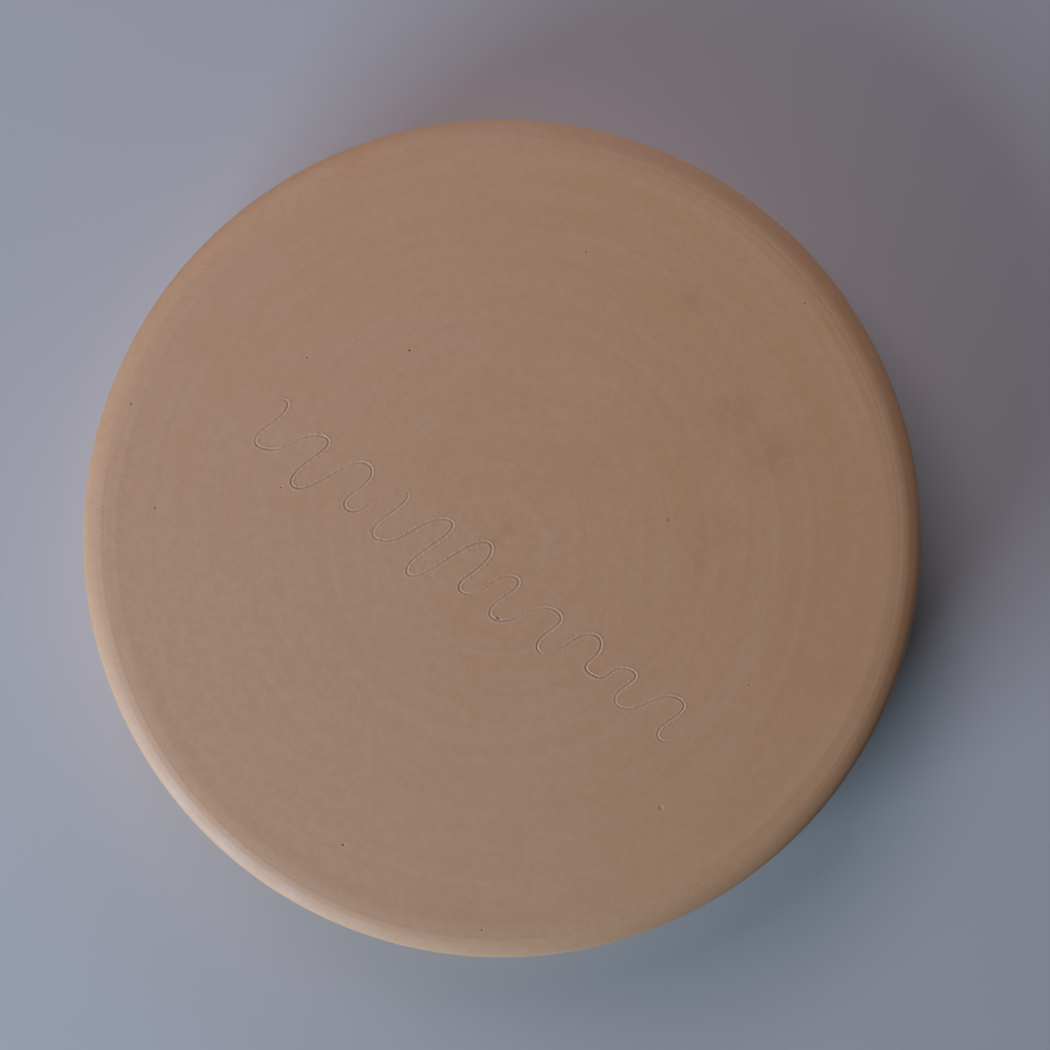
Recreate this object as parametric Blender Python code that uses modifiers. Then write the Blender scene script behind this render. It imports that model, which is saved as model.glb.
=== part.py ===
"""Round two-part press mold for a small plate: two cast halves that close on four moulded keys.

Units are metres, +Z is up, and the origin is the centre of the face that the mold stands on.
The lower half is a bed that forms the outside of the plate. The upper half carries a boss that
presses the inside, and lifts straight off.
"""

import math

import bpy

# Outside
OUTER_RADIUS = 0.150
TOTAL_HEIGHT = 0.058
SEAM_HEIGHT = 0.036
BASE_ROUND = 0.006
SEAM_ROUND = 0.0012
CLEARANCE = 0.0003

# Edge of the back: a slight fall, then a broad curve that tightens where it meets the side
FALL_START_RADIUS = 0.1367
FALL_DEGREES = 2.5
SHOULDER_START_RADIUS = 0.1418
SHOULDER_START_DEGREES = 5.0
SHOULDER_BROAD_RADIUS = 0.0138
SHOULDER_BREAK_DEGREES = 31.0

# Plate cavity
FLOOR_HEIGHT = 0.018
FLAT_FLOOR_RADIUS = 0.074
BED_CURVE_RADIUS = 0.050
PLATE_RADIUS = 0.112
CLAY_THICKNESS = 0.007
FOOT_RING_RADIUS = 0.060
FOOT_RING_HALF_WIDTH = 0.0035
FOOT_RING_DEPTH = 0.004
FOOT_RING_SLOPE = 0.0012

# Where surplus clay escapes
GUTTER_RADIUS = 0.1185
GUTTER_HALF_WIDTH = 0.003

# Keys
KEY_CIRCLE_RADIUS = 0.134
KEY_ANGLES = (45.0, 135.0, 215.0, 325.0)
KEY_RADIUS = 0.007
KEY_DEPTH = 0.012
KEY_EDGE = 0.0005
KEY_GROOVE_DEPTH = 0.0008
KEY_GROOVE_WIDTH = 0.0032
KEY_GROOVE_STARTS = (0.0020, 0.0066)
DOME_RADIUS = 0.0045
DOME_HEIGHT = 0.005
DOME_SEGMENTS = 4

# Notches in the seam, where a tool starts the halves apart
PRY_ANGLES = (0.0, 180.0)
PRY_WIDTH = 0.026
PRY_DEPTH = 0.010
PRY_HEIGHT = 0.0035

# Score line down the side, which shows how the halves go together
MARK_ANGLE = 270.0
MARK_DEPTH = 0.0010
MARK_REACH = 0.010

# Smoothness
TURN_STEPS = 72
KEY_STEPS = 16
SMALL_ARC_STEP = 15.0
LONG_ARC_STEP = 8.0
CREASE_DEGREES = 35.0


def clear_scene():
    for obj in list(bpy.data.objects):
        bpy.data.objects.remove(obj, do_unlink=True)


def new_collection(name):
    collection = bpy.data.collections.new(name)
    bpy.context.scene.collection.children.link(collection)
    return collection


def new_material(name, colour, roughness):
    material = bpy.data.materials.new(name)
    material.use_nodes = True
    shader = material.node_tree.nodes["Principled BSDF"]
    shader.inputs["Base Color"].default_value = (*colour, 1.0)
    shader.inputs["Roughness"].default_value = roughness
    shader.inputs["Metallic"].default_value = 0.0
    material.diffuse_color = (*colour, 1.0)
    return material


def arc(centre, radius, start, end, step=SMALL_ARC_STEP):
    """Points from the angle start to the angle end, in degrees from +X towards +Z, ends included."""
    count = math.ceil(abs(end - start) / step)
    points = []
    for index in range(count + 1):
        angle = math.radians(start + (end - start) * index / count)
        points.append((centre[0] + radius * math.cos(angle), centre[1] + radius * math.sin(angle)))
    return points


def around(radius, angle):
    """The x and y of a place on a circle about the axis."""
    turn = math.radians(angle)
    return radius * math.cos(turn), radius * math.sin(turn)


def turned(name, profile, steps, collection):
    """A body of revolution about Z. The profile starts on the axis and runs down its outer side."""
    mesh = bpy.data.meshes.new(name)
    vertices = [(radius, 0.0, height) for radius, height in profile]
    edges = [(index, index + 1) for index in range(len(vertices) - 1)]
    mesh.from_pydata(vertices, edges, [])
    obj = bpy.data.objects.new(name, mesh)
    collection.objects.link(obj)
    screw = obj.modifiers.new("Turn", "SCREW")
    screw.angle = math.tau
    screw.steps = steps
    screw.render_steps = steps
    screw.use_merge_vertices = True
    screw.merge_threshold = 0.00001
    return obj


def cut(obj, cutter):
    boolean = obj.modifiers.new(cutter.name, "BOOLEAN")
    boolean.operation = "DIFFERENCE"
    boolean.solver = "EXACT"
    boolean.object = cutter


def hide_cutter(obj, collection):
    for other in list(obj.users_collection):
        other.objects.unlink(obj)
    collection.objects.link(obj)
    obj.hide_render = True
    obj.display_type = "WIRE"


def box_cutter(name, size, location, rotation, collection):
    bpy.ops.mesh.primitive_cube_add(size=1.0, location=location, rotation=rotation)
    box = bpy.context.object
    box.name = name
    box.scale = size
    bpy.ops.object.transform_apply(location=False, rotation=False, scale=True)
    hide_cutter(box, collection)
    return box


def cylinder_cutter(name, radius, low, high, angle, collection):
    x, y = around(KEY_CIRCLE_RADIUS, angle)
    centre = (x, y, (low + high) / 2)
    bpy.ops.mesh.primitive_cylinder_add(
        vertices=KEY_STEPS, radius=radius, depth=high - low, location=centre
    )
    cylinder = bpy.context.object
    cylinder.name = name
    hide_cutter(cylinder, collection)
    return cylinder


def settle(obj):
    """Give the object the mesh that its modifiers make, shaded smooth with its corners kept."""
    graph = bpy.context.evaluated_depsgraph_get()
    mesh = bpy.data.meshes.new_from_object(obj.evaluated_get(graph))
    mesh.name = obj.name
    obj.modifiers.clear()
    obj.data = mesh
    mesh.shade_smooth()
    mesh.set_sharp_from_angle(angle=math.radians(CREASE_DEGREES))


def bed_curve_end(radius, height):
    """The angle at which an arc about the bed curve's centre reaches this height."""
    return math.degrees(math.asin((height - FLOOR_HEIGHT - BED_CURVE_RADIUS) / radius))


def shoulder():
    """The edge of the back, from where the fall starts to the top of the side."""
    turn_out = math.radians(SHOULDER_START_DEGREES)
    turn_down = math.radians(SHOULDER_BREAK_DEGREES)
    fall_width = SHOULDER_START_RADIUS - FALL_START_RADIUS
    start_height = TOTAL_HEIGHT - fall_width * math.tan(math.radians(FALL_DEGREES))
    broad = SHOULDER_BROAD_RADIUS
    broad_centre = (
        SHOULDER_START_RADIUS - broad * math.sin(turn_out),
        start_height - broad * math.cos(turn_out),
    )
    broad_end = 90.0 - SHOULDER_BREAK_DEGREES
    points = arc(broad_centre, broad, 90.0 - SHOULDER_START_DEGREES, broad_end)
    break_radius, break_height = points[-1]
    tight = (OUTER_RADIUS - break_radius) / (1 - math.sin(turn_down))
    tight_centre = (OUTER_RADIUS - tight, break_height - tight * math.cos(turn_down))
    points += arc(tight_centre, tight, broad_end, 0.0)[1:]
    return [(FALL_START_RADIUS, TOTAL_HEIGHT), *points]


def upper_profile():
    """From the top centre out over the back, down the side, and in under the land to the boss."""
    land = SEAM_HEIGHT + CLEARANCE
    press_radius = BED_CURVE_RADIUS - CLAY_THICKNESS
    curve_centre = (FLAT_FLOOR_RADIUS, FLOOR_HEIGHT + BED_CURVE_RADIUS)
    root = bed_curve_end(press_radius, land)
    points = [(0.0, TOTAL_HEIGHT), *shoulder()]
    seam_centre = (OUTER_RADIUS - SEAM_ROUND, land + SEAM_ROUND)
    points += arc(seam_centre, SEAM_ROUND, 0.0, -90.0)
    points += arc(curve_centre, press_radius, root, -90.0, LONG_ARC_STEP)
    points.append((0.0, FLOOR_HEIGHT + CLAY_THICKNESS))
    return points


def lower_profile():
    """From the centre of the bed out over foot ring, curve and gutter, then down to the base."""
    ring_floor = FLOOR_HEIGHT - FOOT_RING_DEPTH
    points = [
        (0.0, FLOOR_HEIGHT),
        (FOOT_RING_RADIUS - FOOT_RING_HALF_WIDTH, FLOOR_HEIGHT),
        (FOOT_RING_RADIUS - FOOT_RING_HALF_WIDTH + FOOT_RING_SLOPE, ring_floor),
        (FOOT_RING_RADIUS + FOOT_RING_HALF_WIDTH - FOOT_RING_SLOPE, ring_floor),
        (FOOT_RING_RADIUS + FOOT_RING_HALF_WIDTH, FLOOR_HEIGHT),
    ]
    curve_centre = (FLAT_FLOOR_RADIUS, FLOOR_HEIGHT + BED_CURVE_RADIUS)
    mouth = -math.degrees(math.acos((PLATE_RADIUS - FLAT_FLOOR_RADIUS) / BED_CURVE_RADIUS))
    points += arc(curve_centre, BED_CURVE_RADIUS, -90.0, mouth, LONG_ARC_STEP)
    flash_land = points[-1][1]
    points.append((GUTTER_RADIUS - GUTTER_HALF_WIDTH, flash_land))
    gutter_centre = (GUTTER_RADIUS, flash_land)
    points += arc(gutter_centre, GUTTER_HALF_WIDTH, 180.0, 360.0)[1:-1]
    points.append((GUTTER_RADIUS + GUTTER_HALF_WIDTH, SEAM_HEIGHT))
    seam_centre = (OUTER_RADIUS - SEAM_ROUND, SEAM_HEIGHT - SEAM_ROUND)
    points += arc(seam_centre, SEAM_ROUND, 90.0, 0.0)
    base_centre = (OUTER_RADIUS - BASE_ROUND, BASE_ROUND)
    points += arc(base_centre, BASE_ROUND, 0.0, -90.0)
    points.append((0.0, 0.0))
    return points


def dome(radius, height):
    """A dome's half outline, from its tip down to its edge at height 0, as a quarter of an ellipse."""
    points = []
    for index in range(DOME_SEGMENTS + 1):
        angle = math.pi / 2 * index / DOME_SEGMENTS
        points.append((radius * math.sin(angle), height * math.cos(angle)))
    return points


def key_stem(direction):
    """The key's side, from its face at height 0 to its far end, with two grooves that grip the cast.

    The direction is 1 for a stem that goes up and -1 for one that goes down.
    """
    groove_radius = KEY_RADIUS - KEY_GROOVE_DEPTH
    outline = [(KEY_RADIUS - KEY_EDGE, 0.0), (KEY_RADIUS, KEY_EDGE)]
    for start in KEY_GROOVE_STARTS:
        end = start + KEY_GROOVE_WIDTH
        outline.append((KEY_RADIUS, start))
        outline.append((groove_radius, start + KEY_GROOVE_DEPTH))
        outline.append((groove_radius, end - KEY_GROOVE_DEPTH))
        outline.append((KEY_RADIUS, end))
    outline.append((KEY_RADIUS, KEY_DEPTH - KEY_EDGE))
    outline.append((KEY_RADIUS - KEY_EDGE, KEY_DEPTH))
    return [(radius, direction * height) for radius, height in outline]


def pin_profile():
    """A key with a dome, from its tip down. Its face is at height 0."""
    return dome(DOME_RADIUS, DOME_HEIGHT) + key_stem(-1) + [(0.0, -KEY_DEPTH)]


def socket_profile():
    """A key with a hollow for the dome, from the top of its stem down. Its face is at height 0."""
    hollow = dome(DOME_RADIUS + CLEARANCE, DOME_HEIGHT + CLEARANCE)
    return [(0.0, KEY_DEPTH)] + key_stem(1)[::-1] + hollow[::-1]


def make_keys(kind, profile, height, material, collection):
    """Four copies of a key on their circle. The first holds the mesh that the others share."""
    keys = []
    for number, angle in enumerate(KEY_ANGLES, start=1):
        name = f"{kind}_{number}"
        if keys:
            key = bpy.data.objects.new(name, keys[0].data)
            collection.objects.link(key)
        else:
            key = turned(name, profile, KEY_STEPS, collection)
            key.data.materials.append(material)
            settle(key)
        key.location = (*around(KEY_CIRCLE_RADIUS, angle), height)
        keys.append(key)
    return keys


def bore_key_holes(obj, kind, low, high, cutters):
    radius = KEY_RADIUS + CLEARANCE
    for number, angle in enumerate(KEY_ANGLES, start=1):
        hole = cylinder_cutter(f"{kind}_hole_{number}", radius, low, high, angle, cutters)
        cut(obj, hole)


def cut_pry_notches(obj, cutters):
    """A slot at each side, deepest at the edge, under the upper half's land."""
    slope = math.atan2(PRY_HEIGHT, PRY_DEPTH)
    for number, angle in enumerate(PRY_ANGLES, start=1):
        x, y = around(OUTER_RADIUS, angle)
        size = (2 * PRY_DEPTH / math.cos(slope), PRY_WIDTH, 2 * PRY_HEIGHT)
        lift = PRY_HEIGHT / math.cos(slope)
        location = (x, y, SEAM_HEIGHT - PRY_HEIGHT + lift)
        rotation = (0.0, slope, math.radians(angle))
        notch = box_cutter(f"pry_notch_{number}", size, location, rotation, cutters)
        cut(obj, notch)


def mark_cutter(cutters):
    """A slim box on edge, whose corner scores both halves across the seam."""
    x, y = around(OUTER_RADIUS, MARK_ANGLE)
    side = MARK_DEPTH * math.sqrt(2)
    size = (side, side, 2 * MARK_REACH)
    rotation = (0.0, 0.0, math.radians(MARK_ANGLE + 45.0))
    return box_cutter("seam_mark", size, (x, y, SEAM_HEIGHT), rotation, cutters)


def make_halves(material, collection, cutters):
    lower = turned("lower_half", lower_profile(), TURN_STEPS, collection)
    upper = turned("upper_half", upper_profile(), TURN_STEPS, collection)
    land = SEAM_HEIGHT + CLEARANCE
    floor = SEAM_HEIGHT - KEY_DEPTH - CLEARANCE
    bore_key_holes(lower, "pin", floor, SEAM_HEIGHT + KEY_DEPTH, cutters)
    bore_key_holes(upper, "socket", land - KEY_DEPTH, land + KEY_DEPTH + CLEARANCE, cutters)
    cut_pry_notches(lower, cutters)
    mark = mark_cutter(cutters)
    for half in (lower, upper):
        cut(half, mark)
        half.data.materials.append(material)
        settle(half)
    return lower, upper


def main():
    clear_scene()
    parts = new_collection("plaster_mold")
    cutters = new_collection("cutters")
    plaster = new_material("buff_plaster", (0.66, 0.43, 0.28), 0.9)
    plastic = new_material("key_plastic", (0.78, 0.77, 0.72), 0.45)
    upper = make_halves(plaster, parts, cutters)[1]
    make_keys("natch_pin", pin_profile(), SEAM_HEIGHT, plastic, parts)
    sockets = make_keys("natch_socket", socket_profile(), SEAM_HEIGHT + CLEARANCE, plastic, parts)
    lift = bpy.data.objects.new("upper_half_lift", None)
    parts.objects.link(lift)
    for piece in [upper, *sockets]:
        piece.parent = lift


main()
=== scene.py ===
"""The looks of a round two-part plaster press mold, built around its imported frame.

Everything is in metres in the frame of the part: +Z up, the origin at the centre of the base.
"""

import math
import random

import bmesh
import bpy
import numpy as np
from mathutils import Matrix, Vector, kdtree


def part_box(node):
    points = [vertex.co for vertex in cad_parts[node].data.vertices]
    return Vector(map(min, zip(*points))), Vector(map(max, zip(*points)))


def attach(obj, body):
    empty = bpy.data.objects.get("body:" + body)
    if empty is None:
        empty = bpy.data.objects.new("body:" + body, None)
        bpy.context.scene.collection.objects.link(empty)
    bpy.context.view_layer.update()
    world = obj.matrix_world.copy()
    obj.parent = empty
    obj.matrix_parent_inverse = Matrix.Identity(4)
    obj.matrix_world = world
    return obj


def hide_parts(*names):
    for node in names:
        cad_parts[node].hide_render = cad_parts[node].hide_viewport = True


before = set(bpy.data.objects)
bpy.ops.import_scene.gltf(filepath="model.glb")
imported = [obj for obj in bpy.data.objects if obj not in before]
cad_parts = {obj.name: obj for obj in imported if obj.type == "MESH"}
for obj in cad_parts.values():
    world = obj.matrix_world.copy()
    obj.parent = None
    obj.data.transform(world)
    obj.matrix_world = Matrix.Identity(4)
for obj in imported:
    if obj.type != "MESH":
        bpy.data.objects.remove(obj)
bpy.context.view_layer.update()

# Sizes that the frame gives
UPPER_LOW, UPPER_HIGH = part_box("upper_half")
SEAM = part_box("lower_half")[1].z
OUTER_RADIUS = UPPER_HIGH.x
TOP = UPPER_HIGH.z
PRESS_FACE = UPPER_LOW.z
KEY_NUMBERS = (1, 2, 3, 4)

# Sizes that repeat the part's own
GAP = 0.0003
SEAM_ROUND = 0.0012
BASE_ROUND = 0.006
FALL_START_RADIUS = 0.1367
FALL_DEGREES = 2.5
SHOULDER_START_RADIUS = 0.1418
SHOULDER_START_DEGREES = 5.0
SHOULDER_BROAD_RADIUS = 0.0138
SHOULDER_BREAK_DEGREES = 31.0
FLOOR_HEIGHT = 0.018
FLAT_FLOOR_RADIUS = 0.074
BED_CURVE_RADIUS = 0.050
PLATE_RADIUS = 0.112
FOOT_RING_RADIUS = 0.060
FOOT_RING_HALF_WIDTH = 0.0035
FOOT_RING_DEPTH = 0.004
GUTTER_RADIUS = 0.1185
GUTTER_HALF_WIDTH = 0.003
KEY_RADIUS = 0.007
KEY_DEPTH = 0.012
KEY_EDGE = 0.0005
KEY_GROOVE_DEPTH = 0.0008
KEY_GROOVE_WIDTH = 0.0032
KEY_GROOVE_STARTS = (0.0020, 0.0066)
DOME_RADIUS = 0.0045
DOME_HEIGHT = 0.005
PRY_ANGLES = (0.0, 180.0)
PRY_WIDTH = 0.026
PRY_DEPTH = 0.010
PRY_HEIGHT = 0.0035
MARK_ANGLE = 270.0
MARK_DEPTH = 0.0010
MARK_REACH = 0.010

# Fineness of the turned surfaces: steps round the axis, lengths along an outline, degrees along an arc
TURN_STEPS = 192
KEY_STEPS = 48
BACK_STEP = 0.0015
FINE_STEP = 0.0003
FOOT_RING_STEP = 0.0004
WALL_STEP = 0.0016
PLAIN_STEP = 0.004
BASE_STEP = 0.006
BROAD_DEGREES = 1.5
TIGHT_DEGREES = 6.0
BED_DEGREES = 3.0
SMALL_DEGREES = 15.0
BASE_DEGREES = 9.0
DOME_DEGREES = 9.0
KEY_EDGE_DEGREES = 30.0
KEY_GROOVE_PARTS = 8

# Edges sharper than this stay sharp in the shading, and points nearer than these are one
CREASE_DEGREES = 35.0
SAME_POINT = 1e-7
WELD_DISTANCE = 1e-6

# Powers that round the foot ring's groove and the keys' grip grooves
FOOT_RING_POWER = 4
FOOT_RING_CORNER_POWER = 1.5
KEY_GROOVE_POWER = 0.5

# Near a fine mark the faces are divided in rounds: how near each round reaches, and the length above
# which it halves an edge
REFINE_ROUNDS = ((0.0032, 0.0020), (0.0026, 0.0010), (0.0018, 0.0005), (0.0011, 0.00025))

# Light rings left by turning the back: radius, height, width and the angle where each is strongest
RINGS = (
    (0.0168, 0.000025, 0.0013, 40.0),
    (0.0268, 0.000015, 0.0012, 150.0),
    (0.0405, 0.000030, 0.0014, 250.0),
    (0.0509, 0.000025, 0.0018, 60.0),
    (0.0600, 0.000015, 0.0012, 200.0),
    (0.0695, 0.000030, 0.0014, 290.0),
    (0.0790, 0.000015, 0.0012, 20.0),
    (0.0878, 0.000025, 0.0016, 100.0),
    (0.0985, 0.000015, 0.0014, 330.0),
    (0.1111, 0.000030, 0.0018, 75.0),
    (0.1219, 0.000030, 0.0013, 225.0),
    (0.1269, 0.000025, 0.0013, 190.0),
)
# Marks that run all the way round near the edge: radius, height and half width
RIM_LINES = ((0.1373, 0.00005, 0.0018), (0.1417, -0.00004, 0.0005), (0.1449, 0.00003, 0.0004))
# How far the rings wander off the round, and how their height varies round them
RING_DRIFT = 0.0006
RING_MEAN_SHARE = 0.45
RING_SHARE_SWING = 0.55
# Fine ripples from the centre outwards
RIPPLE_HEIGHT = 0.000006
RIPPLE_LENGTHS = (0.0031, 0.0043, 0.0058, 0.0083, 0.0117)
RIPPLE_DRIFT = 2.5
CENTRE_DIMPLE_RADIUS = 0.004
CENTRE_DIMPLE_DEPTH = 0.00010

# The cast side: a slow swell, and fine level lines that follow it a little
SWELL_HEIGHT = 0.00003
SIDE_LINE_HEIGHT = 0.000012
SIDE_LINE_DRIFT = 0.00008

# Which vertices count as the back and as the side
BACK_DROP = 0.004
BACK_MARGIN = 0.003
BACK_LEAST_NORMAL = 0.5
SIDE_DEPTH = 0.0002
SIDE_MOST_NORMAL = 0.3

# Wobbles: a seed, and the least and most angular rate of each sine in the sum
RING_WOBBLE = (11, ((1.0, 1.0), (2.0, 2.0), (3.0, 3.0)))
RIPPLE_FIRST_SEED = 20
RIPPLE_RATES = ((1.0, 1.0), (2.0, 2.0))
SWELL_WOBBLE = (31, ((3.0, 3.0), (5.0, 5.0), (8.0, 8.0)))
SIDE_LINE_WOBBLE = (37, ((900.0, 1300.0), (1700.0, 2300.0), (2900.0, 3300.0)))
WAVE_SWING_WOBBLE = (3, ((9.0, 14.0), (20.0, 30.0), (35.0, 50.0)))
WAVE_PRESS_WOBBLE = (5, ((15.0, 25.0), (40.0, 60.0), (90.0, 140.0)))
WAVE_ROUGH_WOBBLE = (7, ((1500.0, 1900.0), (2600.0, 3200.0), (4300.0, 5200.0)))

# The scribed wave: a plain freehand line that stands in for writing on the real object
WAVE_START = Vector((-0.088, 0.044))
WAVE_END = Vector((0.066, -0.068))
WAVE_CRESTS = 11.0
WAVE_HEIGHT_START = 0.0115
WAVE_HEIGHT_END = 0.0065
WAVE_UNEVENNESS = 0.30
WAVE_LEAN = 0.35
WAVE_ROUNDNESS = 0.45
WAVE_DRIFT = 0.008
WAVE_DRIFT_SHIFT = 1.7
# Where the tool was lifted, how far the line fades towards it, and how much of that stays empty
WAVE_LIFTS = (0.285, 0.715)
WAVE_LIFT_LENGTH = 0.012
WAVE_LIFT_GAP = 0.35
WAVE_MEAN_PRESS = 0.80
WAVE_PRESS_SWING = 0.25
WAVE_ROUGHNESS = 0.55
WAVE_SAMPLES = 12000
WAVE_SPACING = 0.00010

# The groove that the tool cut, the burr on both sides of it, and the crumbs
SCRIBE_DEPTH = 0.00025
SCRIBE_HALF_WIDTH = 0.00029
BURR_HEIGHT = 0.00011
BURR_OFFSET = 0.00066
BURR_HALF_WIDTH = 0.00025
BURR_LEFT_SHARE = 1.25
BURR_RIGHT_SHARE = 0.75
CRUMB_SEED = 17
CRUMB_HEIGHT = 0.00022
CRUMB_RADII = (0.00025, 0.00050)
CRUMB_SPREAD = 0.0007
CRUMB_CHANCE = 0.006
CRUMB_CHANCE_AT_LIFT = 0.05
LIGHT_PRESS = 0.5

# Pinholes in the back: x, y and radius
BACK_PITS = (
    (-0.0327, 0.0669, 0.00055),
    (-0.0692, 0.0644, 0.00040),
    (-0.0563, -0.1088, 0.00060),
    (0.1079, 0.0837, 0.00045),
    (0.0595, 0.0066, 0.00045),
    (-0.0785, 0.0181, 0.00035),
    (-0.1317, 0.0480, 0.00050),
    (-0.1230, 0.0109, 0.00045),
    (-0.0013, -0.0283, 0.00055),
    (0.0300, 0.1020, 0.00035),
    (-0.0070, -0.1390, 0.00040),
    (0.0880, -0.0520, 0.00035),
)
BACK_CHIPS = ((0.0565, -0.0957, 0.00110), (0.0258, -0.0342, 0.00060))
BACK_PIT_DEPTH = 0.00038
CHIP_DEPTH_PER_RADIUS = 0.22
# A hollow at least this deep gets painted shade inside
DARK_PIT_DEPTH = 0.00028

# Pinholes in each half's side: the seed of their places, and the lowest and highest place
UPPER_SIDE_PITS = (41, SEAM + 0.003, TOP - 0.009)
LOWER_SIDE_PITS = (43, 0.008, SEAM - 0.006)
SIDE_PITS_PER_HALF = 26
SIDE_PIT_RADII = (0.00030, 0.00075)

# Soft dark smudges on the back: x, y, radius and strength
SMUDGES = (
    (0.0825, 0.0440, 0.012, 1.0),
    (0.0960, 0.0305, 0.013, 1.0),
    (0.0770, 0.0020, 0.012, 0.45),
    (0.0710, -0.0077, 0.010, 0.35),
    (0.0020, 0.0028, 0.0045, 0.9),
    (0.0663, 0.0845, 0.008, 0.7),
)

# The side of the back towards the key lamp, where a painted sheen makes the plaster paler and whiter
LIT_SIDE = (-0.866, -0.5, 0.0)

# Streaks round the axis, as scales round it and along the outline: broad, fine and hair
STREAK_SCALES = ((1.3, 150.0), (2.2, 620.0), (4.0, 2400.0))

# Noise masks: scale, detail, roughness, and the noise at which the mask is 0 and 1
MASKS = {
    "light streak": (1.0, 3.0, 0.5, 0.38, 0.68),
    "dark streak": (1.0, 3.0, 0.5, 0.50, 0.78),
    "patch": (260.0, 3.0, 0.7, 0.36, 0.64),
    "fleck": (800.0, 2.0, 0.6, 0.40, 0.66),
    "broken ring": (34.0, 2.0, 0.5, 0.44, 0.60),
    "ragged ring": (420.0, 4.0, 0.7, 0.36, 0.62),
    "speck": (900.0, 2.0, 0.5, 0.68, 0.76),
    "nick": (1300.0, 2.0, 0.5, 0.54, 0.68),
    "nicked side": (2.6, 2.0, 0.5, 0.46, 0.66),
    "smudge": (240.0, 4.0, 0.5, 0.25, 0.60),
    "polish": (60.0, 3.0, 0.5, 0.3, 0.7),
    "key cloud": (160.0, 3.0, 0.5, 0.3, 0.7),
    "key dust": (420.0, 4.0, 0.5, 0.55, 0.75),
    "key sheen": (300.0, 3.0, 0.5, 0.3, 0.7),
}

# Plaster, in linear RGB: its ground from buff to a paler tone that is also a painted sheen, and the
# tints over it with their strength
BUFF = (0.795, 0.394, 0.151, 1.0)
PALE_TONE_AND_SHEEN = (0.840, 0.437, 0.210, 1.0)
TINTS = {
    "light streak": (0.27, (0.835, 0.470, 0.245, 1.0)),
    "dark streak": (0.12, (0.55, 0.27, 0.11, 1.0)),
    "patch": (0.32, (0.700, 0.360, 0.125, 1.0)),
    "fleck": (0.14, (0.850, 0.500, 0.310, 1.0)),
    "ring": (0.31, (0.820, 0.520, 0.330, 1.0)),
    "speck": (0.22, (0.38, 0.22, 0.12, 1.0)),
    "smudge": (0.34, (0.50, 0.24, 0.085, 1.0)),
}
NICK_COLOUR = (0.40, 0.22, 0.11, 1.0)
# Painted light at the fine marks: painted shade in grooves and pits, darker painted shade in deep
# pinholes, a painted highlight on burrs and crumbs; for each an attribute, two of its values, the tint's
# strength at each, and its colour
MARK_SHADE_AND_HIGHLIGHT = (
    ("relief", -1.0, -0.1, 0.24, 0.0, (0.36, 0.20, 0.10, 1.0)),
    ("hole", 0.0, 0.7, 0.0, 0.65, (0.24, 0.13, 0.07, 1.0)),
    ("relief", 0.03, 0.35, 0.0, 0.42, (0.84, 0.60, 0.44, 1.0)),
)

# Plaster: clouds of the paler tone and painted sheen (scale, detail, roughness; gain and offset), and
# the line of nicks
CLOUD_NOISE = (22.0, 5.0, 0.6)
CLOUD_GAIN = 1.6
CLOUD_OFFSET = -0.80
NICK_RADIUS = 0.1420
NICK_REACH = (0.0002, 0.0012)
NICK_STRENGTH = 0.45

# Plaster: how the light rings warp, how their strength changes with the direction, and what is left of
# them where they are broken and ragged
RING_WARP_NOISE = (1.4, 2.0)
RING_WARP = 0.006
RING_FACING = (-0.6, 1.0, 0.25, 1.0)
BROKEN_RING_LEAST = 0.12
RAGGED_RING_LEAST = 0.20

# Plaster: gloss and grain
PLASTER_IOR = 1.6
PLASTER_SPECULAR = 1.0
PLASTER_MEAN_ROUGHNESS = 0.66
PLASTER_ROUGHNESS = (0.62, 0.72)
GRAIN_NOISE = (2600.0, 3.0, 0.6)
GRAIN_SHARE = 0.35
SCRATCH_NOISE = (1.0, 2.0)
SCRATCH_SHARES = (0.10, 0.30)
GRAIN_BUMP = {"Strength": 0.5, "Distance": 0.00006}

# Keys and floor
KEY_MILKY = (0.74, 0.725, 0.67, 1.0)
KEY_PALE = (0.81, 0.80, 0.755, 1.0)
KEY_DUST = (0.68, 0.47, 0.32, 1.0)
KEY_DUST_STRENGTH = 0.35
KEY_SPECULAR = 0.5
KEY_MEAN_ROUGHNESS = 0.42
KEY_ROUGHNESS = (0.34, 0.55)
KEY_NOISE = (3000.0, 2.0)
KEY_BUMP = {"Strength": 0.25, "Distance": 0.00003}
FLOOR_GREY = (0.632, 0.600, 0.562, 1.0)
FLOOR_SPECULAR = 0.3
FLOOR_ROUGHNESS = 0.9

# View
LENS = 75.0
SENSOR = 36.0
CAMERA_HEIGHT = 0.8354
CAMERA_OFFSET = (0.0082, 0.0048)

# Light. Lamps: name, azimuth from +X, elevation, power and colour
LAMP_DISTANCE = 1.6
LAMP_SIZE = 0.9
LAMPS = (
    ("key", 224.0, 20.0, 26.9, (0.522, 0.722, 1.0)),
    ("side", 90.0, 28.0, 4.6, (0.600, 0.760, 1.0)),
    ("over", 120.0, 55.0, 6.0, (0.935, 0.785, 0.960)),
)
WORLD_COLOUR = (0.70, 0.78, 1.0, 1.0)
WORLD_STRENGTH = 0.01
FLOOR_SIZE = 6.0


# ---------------------------------------------------------------- outlines


def straight(start, end, step):
    """Points from start to end, both included, no further apart than step."""
    count = max(1, math.ceil(math.dist(start, end) / step))
    points = []
    for index in range(count + 1):
        part = index / count
        x = start[0] + (end[0] - start[0]) * part
        points.append((x, start[1] + (end[1] - start[1]) * part))
    return points


def arc(centre, radius, start, end, step):
    """Points from the angle start to the angle end, in degrees from +X towards +Z."""
    count = max(2, math.ceil(abs(end - start) / step))
    points = []
    for index in range(count + 1):
        angle = math.radians(start + (end - start) * index / count)
        points.append((centre[0] + radius * math.cos(angle), centre[1] + radius * math.sin(angle)))
    return points


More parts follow.
